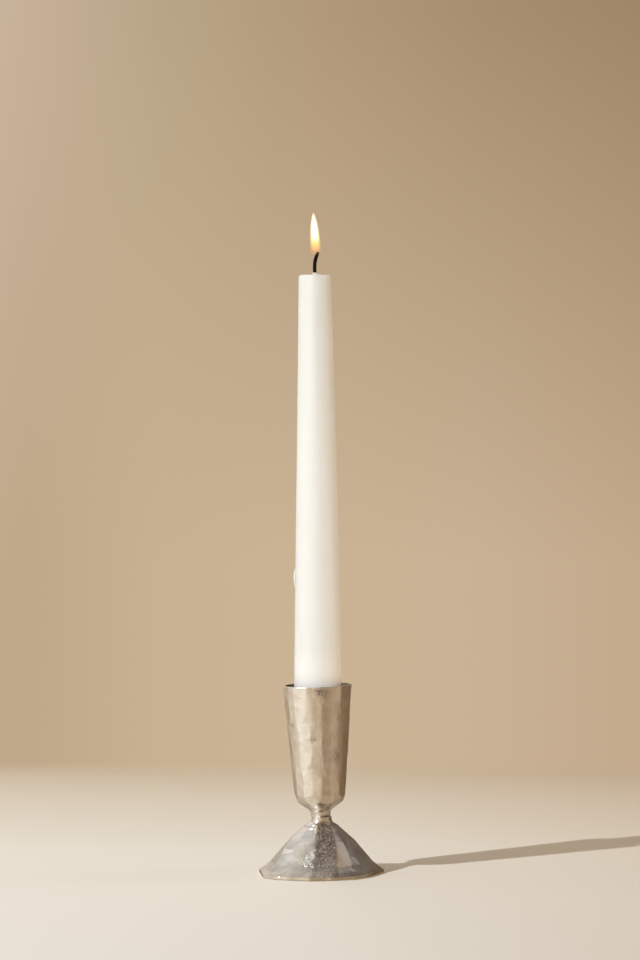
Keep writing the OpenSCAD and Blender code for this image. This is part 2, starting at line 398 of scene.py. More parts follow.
def carvingTree():
    tree, start, end = newTree("carveFlats", {
        "Flats": ("Object", None),
        "Flat Count": ("Int", 1),
        "Marks": ("Object", None),
        "Mark Count": ("Int", 1),
        "Softness": ("Float", 0.1 * mm),
        "Start Ease": ("Float", 1.0),
        "Start Length": ("Float", 10 * mm),
        "Waver": ("Float", 0.2),
        "Waver Size": ("Float", 12 * mm),
        "Run Out": ("Float", 0.25),
        "Wobble": ("Float", 0.05 * mm),
        "Wobble Size": ("Float", 8 * mm),
        "Hammer": ("Float", 0.02 * mm),
        "Hammer Size": ("Float", 3 * mm),
        "Torn": ("Float", 0.3 * mm),
        "Shift": ("Vector", (0.0, 0.0, 0.0)),
        "Material": ("Material", None),
    })

    def calc(operation, *values):
        return maths(tree, operation, *values)

    def named(key):
        return namedValue(tree, key)

    def store(geometry, key, value):
        return storeValue(tree, geometry, key, value)

    def flatVector(x, y):
        return addNode(tree, "ShaderNodeCombineXYZ", {"X": x, "Y": y}).outputs[0]

    def facing(turn):
        return flatVector(calc("SINE", turn), calc("MULTIPLY", calc("COSINE", turn), -1.0))

    def beyond(value, edge):
        return calc("MAXIMUM", calc("SUBTRACT", value, edge), 0.0)

    def inMetres(size):
        return calc("DIVIDE", 1.0, size)

    def sampled(points, keys, index):
        # the named values of one point in the list
        found = {}
        for key in keys:
            found[key] = addNode(tree, "GeometryNodeSampleIndex", {
                "Geometry": points, "Index": index, "Value": named(key)},
                data_type="FLOAT", domain="POINT").outputs[0]
        return found

    outward = namedValue(tree, "outward", "FLOAT_VECTOR")
    along, base, core = named("along"), named("base"), named("core")
    place = addNode(tree, "GeometryNodeInputPosition").outputs[0]
    level = vecMaths(tree, "MULTIPLY", place, (0.0, 0.0, 1.0))

    # ridges are sharp in one place and worn in the next, and softest where the carving starts
    patches = noiseOf(tree, place, 9 * mm, 1.0, 0.5)
    ease = calc("MAXIMUM", calc("SUBTRACT", 1.0, calc("DIVIDE", along, start["Start Length"])), 0.0)
    softness = calc("MULTIPLY", start["Softness"], remap(tree, patches, 0.3, 0.7, 0.6, 1.7))
    softness = calc("MULTIPLY", softness, calc("MULTIPLY_ADD", ease, start["Start Ease"], 1.0))

    # the flats are blended with a soft minimum, so that they meet in rounded ridges
    steepest = 70.0  # keeps the exponent within reach
    body = start["Geometry"]
    for key in ("heap", "grainHeap", "peak"):
        body = store(body, key, 0.0)
    flats = addNode(tree, "GeometryNodeObjectInfo", {"Object": start["Flats"]}).outputs["Geometry"]
    zoneIn, zoneOut = repeatZone(tree, start["Flat Count"])
    feed(tree, zoneIn, {"Geometry": body})
    body, index = zoneIn.outputs["Geometry"], zoneIn.outputs["Iteration"]
    flat = sampled(flats, flatKeys, index)
    line = flatVector(calc("MULTIPLY", index, 7.3), calc("DIVIDE", along, start["Waver Size"]))
    stray = calc("SUBTRACT", noiseOf(tree, line, 1.0, 1.5, 0.5), 0.5)
    turn = calc("ADD", flat["turn"], calc("MULTIPLY", flat["twist"], along))
    turn = calc("MULTIPLY_ADD", stray, start["Waver"], turn)
    square = calc("MAXIMUM", vecMaths(tree, "DOT_PRODUCT", outward, facing(turn)), 0.02)
    over = calc("ADD", beyond(flat["low"], along), beyond(along, flat["high"]))
    reach = calc("MULTIPLY_ADD", flat["slope"], along, calc("ADD", flat["offset"], base))
    reach = calc("MULTIPLY_ADD", over, start["Run Out"], reach)
    depth = calc("DIVIDE", calc("SUBTRACT", core, calc("DIVIDE", reach, square)), softness)
    weight = calc("EXPONENT", calc("MINIMUM", depth, steepest))
    body = store(body, "heap", calc("ADD", named("heap"), weight))
    body = store(body, "grainHeap", calc("MULTIPLY_ADD", weight, flat["grain"], named("grainHeap")))
    body = store(body, "peak", calc("MAXIMUM", named("peak"), weight))
    feed(tree, zoneOut, {"Geometry": body})
    body = zoneOut.outputs["Geometry"]

    heap = calc("ADD", named("heap"), 1.0)
    sharpest = calc("DIVIDE", calc("MAXIMUM", named("peak"), 1.0), heap)
    body = store(body, "ridge", calc("SUBTRACT", 1.0, sharpest))
    body = store(body, "grain", calc("DIVIDE", named("grainHeap"), heap))
    cut = calc("MULTIPLY", calc("LOGARITHM", heap, math.e), softness)
    body = store(body, "reach", calc("SUBTRACT", core, cut))

    # marks: dents, scars and pits, each a soft oval patch
    for key in ("dent", "scar"):
        body = store(body, key, 0.0)
    marks = addNode(tree, "GeometryNodeObjectInfo", {"Object": start["Marks"]}).outputs["Geometry"]
    zoneIn, zoneOut = repeatZone(tree, start["Mark Count"])
    feed(tree, zoneIn, {"Geometry": body})
    body, index = zoneIn.outputs["Geometry"], zoneIn.outputs["Iteration"]
    mark = sampled(marks, markKeys, index)
    side = flatVector(calc("COSINE", mark["markTurn"]), calc("SINE", mark["markTurn"]))
    across = calc("MULTIPLY", vecMaths(tree, "DOT_PRODUCT", outward, side), named("reach"))
    across = calc("DIVIDE", across, mark["markWide"])
    up = calc("DIVIDE", calc("SUBTRACT", along, mark["markHeight"]), mark["markTall"])
    spread = calc("ADD", calc("MULTIPLY", across, across), calc("MULTIPLY", up, up))
    near = calc("EXPONENT", calc("MAXIMUM", calc("MULTIPLY", spread, -1.0), -60.0))
    sameSide = vecMaths(tree, "DOT_PRODUCT", outward, facing(mark["markTurn"]))
    near = calc("MULTIPLY", near, calc("GREATER_THAN", sameSide, 0.0))
    body = store(body, "dent", calc("MULTIPLY_ADD", near, mark["markDepth"], named("dent")))
    body = store(body, "scar", calc("MULTIPLY_ADD", near, mark["markRough"], named("scar")))
    feed(tree, zoneOut, {"Geometry": body})
    body = zoneOut.outputs["Geometry"]
    body = store(body, "grain", calc("MINIMUM", 1.0, calc("ADD", named("grain"), named("scar"))))

    # a hand-worked surface: slow waves, hammer marks and torn metal in the scars
    spot = vecMaths(tree, "ADD", vecMaths(tree, "SCALE", outward, named("reach")), level)
    spot = vecMaths(tree, "ADD", spot, start["Shift"])

    def waves(size, detail):
        wave = addNode(tree, "ShaderNodeTexNoise", {
            "Vector": spot, "Scale": inMetres(size), "Detail": detail})
        return calc("SUBTRACT", wave.outputs[0], 0.5)

    cells = addNode(tree, "ShaderNodeTexVoronoi", {"Vector": spot, "Scale": inMetres(start["Hammer Size"])},
                    feature="SMOOTH_F1").outputs["Distance"]
    worked = calc("MULTIPLY", waves(start["Wobble Size"], 2.0), start["Wobble"])
    worked = calc("MULTIPLY_ADD", calc("SUBTRACT", cells, 0.4), start["Hammer"], worked)
    torn = calc("MULTIPLY", named("scar"), start["Torn"])
    worked = calc("MULTIPLY_ADD", waves(1.1 * mm, 3.0), torn, worked)
    worked = calc("SUBTRACT", worked, named("dent"))
    reach = calc("SUBTRACT", calc("ADD", named("reach"), worked), named("tuck"))
    carved = vecMaths(tree, "ADD", vecMaths(tree, "SCALE", outward, reach), level)
    mix = addNode(tree, "ShaderNodeMix", {0: named("inward"), 4: carved, 5: place}, data_type="VECTOR")
    final = mix.outputs[1]
    body = addNode(tree, "GeometryNodeSetPosition", {"Geometry": body, "Position": final}).outputs[0]
    for key in ("heap", "grainHeap", "peak", "reach", "dent", "scar", "outward", *blankKeys):
        body = addNode(tree, "GeometryNodeRemoveAttribute", {"Geometry": body, "Name": key}).outputs[0]
    finishTree(tree, body, start["Material"], end)
    return tree


def carvingBlank(name, rings, sides, closed=False):
    # each ring: radius, height, along, base, core, tuck, inward, x shift; in millimetres
    ob = lathe(name, [ring[:2] for ring in rings], sides, closed=closed)
    mesh = ob.data
    count = [1 if ring[0] == 0 else sides for ring in rings]
    columns = np.repeat(np.array([ring[2:] for ring in rings], dtype=float), count, axis=0).T
    for key, column in zip(blankKeys, columns):
        setValues(mesh, key, column * mm)
    inward, shift = columns[len(blankKeys):]
    setValues(mesh, "inward", inward)
    spots = np.empty(len(mesh.vertices) * 3)
    mesh.vertices.foreach_get("co", spots)
    spots = spots.reshape(-1, 3)
    flat = spots * (1, 1, 0)
    length = np.maximum(np.linalg.norm(flat, axis=1, keepdims=True), 1e-9)
    setValues(mesh, "outward", flat / length, "FLOAT_VECTOR")
    spots[:, 0] += shift * mm
    mesh.vertices.foreach_set("co", spots.ravel())
    return ob


def carve(tree, s, name, blank, flats, marks, shift, place=Matrix.Identity(4)):
    # cuts the flats and marks into a blank; the settings' lengths are in millimetres
    flatPoints = pointList(name + "Flats", flats, flatKeys)
    markPoints = pointList(name + "Marks", marks, markKeys)
    values = {"Flats": flatPoints, "Flat Count": len(flats), "Marks": markPoints, "Mark Count": len(marks),
              "Start Ease": s["startEase"], "Waver": s["waver"], "Run Out": s["runOut"], "Shift": shift,
              "Material": carvedSilver("carvedSilver" + name.title(), silverLook[name])}
    for label, key in (("Softness", "softness"), ("Start Length", "startLength"), ("Waver Size", "waverSize"),
                       ("Wobble", "wobble"), ("Wobble Size", "wobbleSize"), ("Hammer", "hammer"),
                       ("Hammer Size", "hammerSize"), ("Torn", "torn")):
        values[label] = s[key] * mm
    piece = runTree(blank, tree, values, "carved" + name.title(), place)
    for helper in (flatPoints, markPoints):
        bpy.data.objects.remove(helper)
    print(name, "carved:", len(flats), "flats,", len(piece.data.polygons), "faces")
    return piece


def scatteredPits(seed, count, low, high):
    rng = random.Random(seed)
    rows = []
    for _ in range(count):
        size = rng.uniform(0.35, 0.8)
        rows.append((rng.uniform(0, 360), rng.uniform(low, high), size, size * rng.uniform(0.8, 1.8),
                     rng.uniform(0.03, 0.09), 0.0))
    return rows


cupSet = {
    "lean": 1.5,            # degrees, towards -X
    "stemR": 4.5,
    "height": 60.2,
    "rimReach": 15.5,
    "rimEdge": 0.42,
    "coreOut": 0.7,
    "seatR": 11.15,
    "mouthR": 14.7,
    "seatH": 6.0,
    "socketDepth": 37.0,
    "boltR": 2.55,
    "boltDepth": 10.0,
    "sides": 360,
    "step": 0.35,
    "softness": 0.075,
    "startEase": 2.5,
    "startLength": 13.0,
    "waver": 0.32,
    "waverSize": 9.0,
    "runOut": 0.2,
    "wobble": 0.26,
    "wobbleSize": 7.0,
    "hammer": 0.17,
    "hammerSize": 4.2,
    "torn": 0.9,
}

studLow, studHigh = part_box("stud")
wickLow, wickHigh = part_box("wick")
lean = math.radians(cupSet["lean"])
cupAxis = Vector((-math.sin(lean), 0, math.cos(lean)))
studMiddle = (Vector(studLow) + Vector(studHigh)) / 2
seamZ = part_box("foot")[1][2] - cupSet["stemR"] * mm * math.sin(lean)
seam = studMiddle + cupAxis * ((seamZ - studMiddle.z) / cupAxis.z)
cupPlace = Matrix.Translation(seam) @ Matrix.Rotation(-lean, 4, "Y")
cupTop = cupPlace @ Vector((0, 0, cupSet["height"] * mm))

lift = Vector(frame["joints"][0]["axis"]).normalized()
wickR = 0.8 * mm
seat = Vector((wickHigh[0] - wickR, (wickLow[1] + wickHigh[1]) / 2, wickLow[2]))
candleLean = math.atan2(-lift.x, lift.z)
candlePlace = Matrix.Translation(seat) @ Matrix.Rotation(-candleLean, 4, "Y")


def cupRings(s):
    # the outside comes first, from the bolt hole up to the rim, then the socket down to its floor
    h, edge = s["height"], s["rimEdge"]
    rimOut = s["rimReach"] + s["coreOut"]
    corner, stemTop, fillet, bowl = 0.25, 1.2, 2.8, 5.0
    outline = spaced([(s["boltR"] + 0.3, 0.0), (s["stemR"] - corner, 0.0)], 1.0)
    outline += arc(s["stemR"] - corner, corner, corner, -90, 0, 4)[1:]
    outline += [(s["stemR"], stemTop)]
    outline += arc(s["stemR"] + fillet, stemTop, fillet, 180, 122, 10)[1:]
    outline += arc(7.2, 10.6, bowl, -58, -4.5, 16)
    outline += [(rimOut, h)]
    outline = [point for point in spaced(outline, s["step"]) if point[1] <= h - edge or point[0] <= 10]
    rings = [(0, s["boltDepth"], 0, 0, 0, 0, 1, 0)]
    rings += [(s["boltR"], z, 0, 0, s["boltR"], 0, 1, 0) for z in (s["boltDepth"], 5.0, 0.3)]
    rings += [(r, z, z, 0, r, 0, 0, 0) for r, z in outline]
    for degrees in range(0, 91, 15):  # rounded over at the rim's outer edge
        a = math.radians(degrees)
        rings.append((rimOut, h - edge + edge * math.sin(a), h, 0, rimOut, edge * (1 - math.cos(a)), 0, 0))
    turn = math.tan(lean) - math.tan(candleLean)
    local = cupPlace.inverted() @ seat / mm

    def inside(r, up):
        # a ring of the socket, whose axis is the candle's
        z = local.z + up
        return (r, z, z, 0, r, 0, 1.0, local.x + up * turn)

    wall = s["mouthR"]
    slope = (wall - s["seatR"]) / (s["socketDepth"] - s["seatH"])
    top = h - local.z
    for share in (0.3, 0.7):
        rings.append((wall, h, h, 0, rimOut, edge, share, local.x + top * turn))
    for degrees in range(90, -1, -18):
        bend = math.sin(math.radians(degrees))
        rings.append(inside(wall + edge * bend * 0.6, top - edge * (1 - bend)))
    for up in np.linspace(top - edge - 0.6, s["seatH"], 16):
        rings.append(inside(s["seatR"] + (up - s["seatH"]) * slope, float(up)))
    for up in (4.0, 2.0, 0.5):
        rings.append(inside(s["seatR"], up))
    for r in (s["seatR"] - 0.15, 8.0, 4.0, 0):
        rings.append(inside(r, 0.0))
    return rings


# each flat: bearing, twist, reach where it would meet the seam, slope, lowest, highest, then how sandy it is,
# which also sets how dark it is painted
def cupFlats(s):
    upper, lower = (s["rimReach"], s["height"], 4.1), (13.7, 36.0, 5.0)  # reach, height, degrees outwards
    rows = []

    def flat(bearing, reach, at, leanOut, low=-5, high=70):
        slope = math.tan(math.radians(leanOut))
        rows.append((math.radians(bearing), 0.0, (reach - at * slope) * mm, slope, low * mm, high * mm, 0.0))

    for bearing in (-72, -35, -4, 16, 31, 56, 86, 112, 138, 166, 192, 218, 244, 266):
        flat(bearing, *upper)
    for bearing in (-74, -49, -27, -6, 17, 34, 60, 88, 115, 141, 165, 190, 214, 238, 262):
        flat(bearing, *lower)
    for bearing, slope, out in (  # the bowl
            (-78, 40, 10.84), (-36, 49, 10.78), (4, 43, 10.87), (42, 50, 10.82), (84, 41, 10.78),
            (128, 47, 10.84), (170, 42, 10.78), (212, 50, 10.87), (250, 44, 10.80)):
        flat(bearing, out, 7.24, slope, low=5.0, high=13.0)
    for bearing in (-88, -55, -20, 14, 47, 76, 104, 136, 172, 206, 240):
        flat(bearing, 11.30, 9.5, 22, low=5.5, high=12.0)
    for bearing, height, proud, leanOut, span in (  # short facets that cut the ridges between flats
            (-19, 50, 0.10, 5.6, 6.5), (6, 57, 0.06, 6.4, 3.5), (23, 53, 0.07, 2.4, 6.5),
            (43, 44, 0.08, 6.0, 6.5), (5, 26, 0.09, 6.6, 6.0), (-17, 17, 0.08, 3.2, 6.0),
            (25, 19, 0.07, 7.0, 6.0), (-38, 29, 0.09, 6.2, 7.0), (47, 22, 0.08, 3.4, 7.0),
            (100, 50, 0.10, 5.6, 7.0), (151, 24, 0.09, 6.4, 7.0), (204, 52, 0.08, 5.8, 7.0),
            (226, 26, 0.09, 3.4, 7.0), (252, 47, 0.10, 5.8, 7.0)):
        wall = min(reach - (at - height) * math.tan(math.radians(out)) for reach, at, out in (upper, lower))
        flat(bearing, wall + proud, height, leanOut, low=height - span, high=height + span)
    for bearing, reach, at, leanOut, low, high in (
            (-7, 14.02, 39.5, 4.5, 30, 46), (-25, 13.34, 32.6, 4.9, 29.5, 36), (18, 13.90, 38, 7.0, 35, 41),
            (-60, 13.66, 37, 5.0, 31, 42), (44, 13.9, 38.5, 4.4, 30, 46), (125, 13.9, 38.5, 4.6, 30, 47),
            (204, 13.85, 37, 4.6, 28, 45)):
        flat(bearing, reach, at, leanOut, low, high)
    return rows


def markRows(rows):
    # a bearing in degrees, four lengths in millimetres and a share, as the carving tree takes them
    return [(math.radians(row[0]), *(length * mm for length in row[1:5]), row[5]) for row in rows]


def cupMarks():
    rows = [  # bearing, height, width, tallness, depth in millimetres, then how torn it is
        (7, 57.6, 2.4, 1.8, 0.05, 0.8),
        (3, 58.6, 1.7, 0.42, 0.30, 0.9),
        (10, 57.3, 1.4, 0.40, 0.34, 1.0),
        (14, 55.9, 0.6, 1.0, 0.20, 0.9),
        (-55, 42.7, 0.8, 1.1, 0.10, 0.9),
        (-9, 36.2, 1.2, 0.8, 0.08, 0.7),
        (11, 18.9, 0.6, 0.9, 0.10, 0.0),
        (-20, 17.5, 0.5, 0.8, 0.08, 0.0),
        (36, 29.0, 2.2, 4.0, 0.02, 0.45),
        (150, 48.0, 1.8, 1.2, 0.05, 0.5),
        (232, 22.0, 1.2, 2.0, 0.04, 0.4),
    ]
    return markRows(rows + scatteredPits(7, 24, 10, 58))


def makeCup(tree, s):
    blank = carvingBlank("cupBlank", cupRings(s), s["sides"])
    piece = carve(tree, s, "cup", blank, cupFlats(s), cupMarks(), (0.03, 0.01, 0.0), cupPlace)
    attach(piece, "holder")
    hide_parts("cup")
    return piece


footSet = {
    "collarR": 4.6,
    "rimGap": 0.2,
    "lip": 1.0,
    "rimReach": 26.5,       # the reach that the flats' own offsets are counted from
    "spare": 4.6,           # how far the blank stands outside the flats
    "hollowR": 23.3,
    "hollowTop": 15.0,
    "boltR": 2.75,
    "sides": 512,
    "step": 0.32,
    "softness": 0.12,
    "startEase": 1.0,
    "startLength": 6.0,
    "waver": 0.16,
    "waverSize": 8.0,
    "runOut": 0.9,
    "wobble": 0.28,
    "wobbleSize": 9.0,
    "hammer": 0.15,
    "hammerSize": 4.5,
    "torn": 0.02,
}


def footRings(s):
    top = seamZ / mm
    reach, gap = s["rimReach"], s["rimGap"]
    lipTop, corner, fillet, collar = gap + s["lip"], 0.25, 2.5, 25.1
    outline = arc(s["collarR"] - 0.2, top - 0.2, 0.2, 90, 0, 4)
    outline += [(s["collarR"], top - 0.9)]
    outline += arc(s["collarR"] + fillet, collar, fillet, 180, 232, 8)[1:]
    outline += [(6.9, 22.25), (13.6, 15.45), (reach - 5.0, 5.6), (reach - 2.2, 3.1), (reach, lipTop + 0.15)]
    outline += arc(reach - corner, lipTop - 0.1, corner, 40, 0, 3)
    outline += [(reach, gap + corner)]
    outline += arc(reach - corner, gap + corner, corner, 0, -90, 4)[1:]
    outline = spaced(outline, s["step"])
    rings, along = [], 0.0
    for i, (r, z) in enumerate(outline):
        if i:
            along += math.dist(outline[i - 1], (r, z))
        room = min(1.0, max(0.0, (along - 3.0) / 8.0))
        rings.append((r, z, along, r, r + 0.02 + s["spare"] * room, 0, 0, 0))
    # underneath: the flat of the lip, the hollow, the boss and the bolt hole
    last = rings[-1]
    for share in (0.35, 0.7, 1.0):
        rings.append((s["hollowR"] - gap, gap, *last[2:5], 0, share, 0))
    hollow, ceiling, bolt = s["hollowR"], s["hollowTop"], s["boltR"]
    under = [(hollow - float(z), float(z)) for z in np.linspace(gap + 0.4, ceiling - 0.2, 14)]
    under += [(r, ceiling) for r in (hollow - ceiling - 0.4, 5.0, bolt + 0.2)]
    under += [(bolt, z) for z in (ceiling + 0.2, 20.0, top - 0.2)] + [(bolt + 0.2, top)]
    rings += [(r, z, 0, 0, 0, 0, 1, 0) for r, z in under]
    rings.reverse()  # from the bolt hole round to the outside, so that the faces point outwards
    return rings, along


def footFlats(s, length):
    rows = []

    def flat(bearing, rimReach, topOffset=None, twist=0.0, low=-5.0, high=99.0, grain=0.0):
        # twist in degrees over the whole length, counted from the middle
        out = rimReach - s["rimReach"]
        inner = out * 0.26 if topOffset is None else topOffset
        rows.append((math.radians(bearing - twist / 2), math.radians(twist / (length * mm)), inner * mm,
                     (out - inner) / length, low * mm, high * mm, grain))

    flat(-83, 28.3)
    flat(-41, 29.8, -0.3, low=4.6)
    flat(-17, 27.2, -0.5, low=4.9)
    # the front middle flat is sandy, and painted dark as shade for a dark reflection
    flat(12, 25.9, -1.4, twist=-8, grain=0.8, low=3.4)
    flat(35, 25.5, -0.5, twist=-26, low=4.0)
    flat(53, 25.6, -0.25, twist=-13, low=3.0)
    flat(69, 25.5, -0.1, twist=-8)
    flat(92, 28.6)
    for bearing, rimReach in ((116, 27.2), (140, 27.3), (166, 26.5), (193, 26.9), (220, 27.3), (248, 28.0)):
        flat(bearing, rimReach, grain=0.2, low=3.5)
    for bearing, rimReach, topOffset, low, high in (
            (-29, 27.9, -0.7, 7, 15), (-61, 28.4, -0.6, 6, 19), (60, 25.3, -0.45, 8, 22),
            (128, 26.3, -0.3, 5, 18), (206, 26.3, -0.2, 5, 16)):  # short flats part of the way down
        flat(bearing, rimReach, topOffset, low=low, high=high)
    return rows


def footMarks(length):
    rows = [  # bearing, distance down the slope, width, tallness, depth, then how sandy it is; the sandy patches down the front also carry painted shade for a dark reflection
        (-8, 5.6, 1.8, 0.5, 0.10, 0.2),
        (-7, 21.0, 3.6, 5.5, 0.0, 0.5),
        (-10, 26.5, 4.6, 3.8, 0.0, 0.55),
        (-19, 23.5, 2.8, 3.4, 0.0, 0.3),
        (52, 12.0, 1.6, 2.6, 0.06, 0.15),
        (-44, 11.0, 1.8, 3.0, 0.05, 0.1),
        (4, 14.0, 2.4, 8.0, 0.0, 0.5),
        (30, 8.0, 1.4, 0.9, 0.08, 0.2),
        (70, 20.0, 2.0, 3.0, 0.06, 0.2),
        (180, 18.0, 2.4, 4.0, 0.08, 0.6),
        (240, 24.0, 2.0, 2.0, 0.08, 0.3),
    ]
    return markRows(rows + scatteredPits(19, 24, 4, length - 2))


def makeFoot(tree, s):
    rings, length = footRings(s)
    blank = carvingBlank("footBlank", rings, s["sides"], closed=True)
    piece = carve(tree, s, "foot", blank, footFlats(s, length), footMarks(length), (0.0, 0.07, 0.02))
    band, gap = 1.3, 0.03  # the top of the neck, and the seam left open at it
    for v in piece.data.vertices:  # the top face follows the cup's lean, so the seam closes
        share = (v.co.z / mm - seamZ / mm + band) / band
        if share > 0 and math.hypot(v.co.x, v.co.y) < 6 * mm:
            v.co.z += share * (seam.z + math.tan(lean) * (v.co.x - seam.x) - seamZ - gap * mm)
    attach(piece, "holder")
    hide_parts("foot")
    return piece


candleSet = {
    "footR": 11.0,
    "tipR": 7.3,
    "length": 225.0,
    "burnt": 0.55,          # how far the lit end has sunk
    "power": 1.5,
    "glowDepth": 6.0,       # how far light wanders inside the wax
    "bow": 0.35,            # how far the middle bows to the right
    "waves": 0.07,
    "sides": 160,
    "step": 1.1,
}


def candleR(h):
    s = candleSet
    return s["footR"] - (s["footR"] - s["tipR"]) * (max(h, 0) / s["length"]) ** s["power"]


def candleBow(h):
    s = candleSet
    return s["bow"] * math.sin(math.pi * min(max((h - 37) / (s["length"] - 37), 0), 1))


def makeCandle(s, wax):
    edge, length = 0.6, s["length"] - s["burnt"]
    body = length - edge
    rings = [(r, 0.0) for r in (0, 3.0, 7.0, s["footR"] - 0.4)]
    rings += [(s["footR"] - 0.1, 0.12), (s["footR"], 0.4)]
    rings += [(candleR(h), h) for h in np.arange(1.5, body, s["step"])]
    rings += arc(candleR(body) - edge, body, edge, 0, 90, 7)
    for share, up in ((0.72, -0.1), (0.56, -0.45), (0.42, -0.5), (0.30, -0.35), (0.22, 0.1), (0.17, 0.8),
                      (0.145, 1.25), (0.11, 1.4), (0, 1.4)):  # the melted cup, and the wax drawn up the wick
        rings.append((s["tipR"] * share, length + up))
    ob = lathe("waxCandle", rings, s["sides"], centre=lambda h: (candleBow(h), 0.0))
    for v in ob.data.vertices:
        p = v.co / mm
        if p.z < 0.5:
            continue
        out = Vector((p.x - candleBow(p.z), p.y, 0))
        far = out.length
        if far < 2.0:
            continue
        swell = noise.noise(Vector((p.x / 14, p.y / 14, p.z / 45))) * s["waves"]
        swell += noise.noise(Vector((p.x / 3.2, p.y / 3.2, p.z / 30))) * s["waves"] * 0.35
        if p.z > body:
            rise = noise.noise(Vector((p.x / 4, p.y / 4, 7.0))) * 0.25 * min(1, (far - 2) / 3)
            v.co.z += rise * mm
        v.co += out.normalized() * swell * mm * min(1, far / 6)
    ob.data.materials.append(wax)
    ob.data.transform(candlePlace)
    smoothAll(ob)
    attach(ob, "candle")
    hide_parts("candle")
    print("candle turned:", len(ob.data.polygons), "faces")
    return ob


dripSet = {
    "glowDepth": 1.0,
    "top": 91.8,
    "length": 15.0,
    "swell": 1.75,
    "proud": 0.8,
    "blunt": 0.7,
    "sides": 48,
}


def makeDrip(s, wax):
    # a short run of set wax on the left, thickest just below its top
    steps = 26
    rings = [(0, s["top"])]
    for i in range(1, steps):
        t = i / steps
        rings.append((s["swell"] * math.sin(math.pi * t ** s["blunt"]), s["top"] - s["length"] * t))
    rings.append((0, s["top"] - s["length"]))
    rings.reverse()
    left = candleR(s["top"] - s["length"] / 2) + s["proud"] - s["swell"]
    ob = lathe("waxDrip", rings, s["sides"], centre=lambda h: (candleBow(h) - left, 0.0))
    for v in ob.data.vertices:
        p = v.co / mm
        v.co.x += noise.noise(Vector((p.x / 2, p.y / 2, p.z / 3))) * 0.12 * mm
    ob.data.materials.append(wax)
    ob.data.transform(candlePlace)
    smoothAll(ob)
    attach(ob, "candle")
    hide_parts("wax_drip")
    print("drip set")
    return ob


wickSet = {
    "strands": 3,
    "strandR": 0.46,
    "orbit": 0.44,
    "turnsPerMm": 0.30,
    "out": 3.4,
    "bend": 24.0,
    "bendR": 14.0,
    "tip": 1.1,
    "fuzz": 0.10,
    "spacing": 0.3,
}


def wickTree():
    # strands wound round a path, then roughened as charred cotton is
    tree, start, end = newTree("woundWick", {
        "Strands": ("Int", 3),
        "Strand Radius": ("Float", 0.4 * mm),
        "Orbit": ("Float", 0.4 * mm),
        "Turns Per Metre": ("Float", 300.0),
        "Spacing": ("Float", 0.3 * mm),
        "Fuzz": ("Float", 0.1 * mm),
        "Material": ("Material", None),
    })
    path = addNode(tree, "GeometryNodeMeshToCurve", {0: start["Geometry"]}).outputs[0]
    path = addNode(tree, "GeometryNodeResampleCurve", {"Curve": path, "Length": start["Spacing"]},
                   mode="LENGTH").outputs[0]
    zoneIn, zoneOut = repeatZone(tree, start["Strands"])
    share = maths(tree, "DIVIDE", zoneIn.outputs["Iteration"], start["Strands"])
    length = addNode(tree, "GeometryNodeSplineParameter").outputs["Length"]
    turns = maths(tree, "MULTIPLY_ADD", length, start["Turns Per Metre"], share)
    angle = maths(tree, "MULTIPLY", turns, 2 * math.pi)
    normal = addNode(tree, "GeometryNodeInputNormal").outputs[0]
    tangent = addNode(tree, "GeometryNodeInputTangent").outputs[0]
    side = vecMaths(tree, "CROSS_PRODUCT", tangent, normal)
    offset = vecMaths(tree, "ADD", vecMaths(tree, "SCALE", normal, maths(tree, "COSINE", angle)),
                      vecMaths(tree, "SCALE", side, maths(tree, "SINE", angle)))
    taper = namedValue(tree, "taper")
    offset = vecMaths(tree, "SCALE", offset, maths(tree, "MULTIPLY", start["Orbit"], taper))
    strand = addNode(tree, "GeometryNodeSetPosition", {"Geometry": path, "Offset": offset}).outputs[0]
    strand = addNode(tree, "GeometryNodeSetCurveRadius", {0: strand, "Radius": taper}).outputs[0]
    circle = addNode(tree, "GeometryNodeCurvePrimitiveCircle", {
        "Resolution": 10, "Radius": start["Strand Radius"]}, mode="RADIUS").outputs[0]
    tube = addNode(tree, "GeometryNodeCurveToMesh", {
        "Curve": strand, "Profile Curve": circle, "Scale": taper, "Fill Caps": True}).outputs[0]
    joined = addNode(tree, "GeometryNodeJoinGeometry")
    for strands in (zoneIn.outputs["Geometry"], tube):
        tree.links.new(strands, joined.inputs[0])
    feed(tree, zoneOut, {"Geometry": joined.outputs[0]})
    place = addNode(tree, "GeometryNodeInputPosition").outputs[0]
    lumps = addNode(tree, "ShaderNodeTexNoise", {"Vector": place, "Scale": 1 / (0.7 * mm), "Detail": 2.0})
    shake = vecMaths(tree, "SUBTRACT", lumps.outputs["Color"], (0.5, 0.5, 0.5))
    shake = vecMaths(tree, "SCALE", shake, start["Fuzz"])
    wound = zoneOut.outputs["Geometry"]
    rough = addNode(tree, "GeometryNodeSetPosition", {"Geometry": wound, "Offset": shake})
    finishTree(tree, rough.outputs[0], start["Material"], end)
    return tree


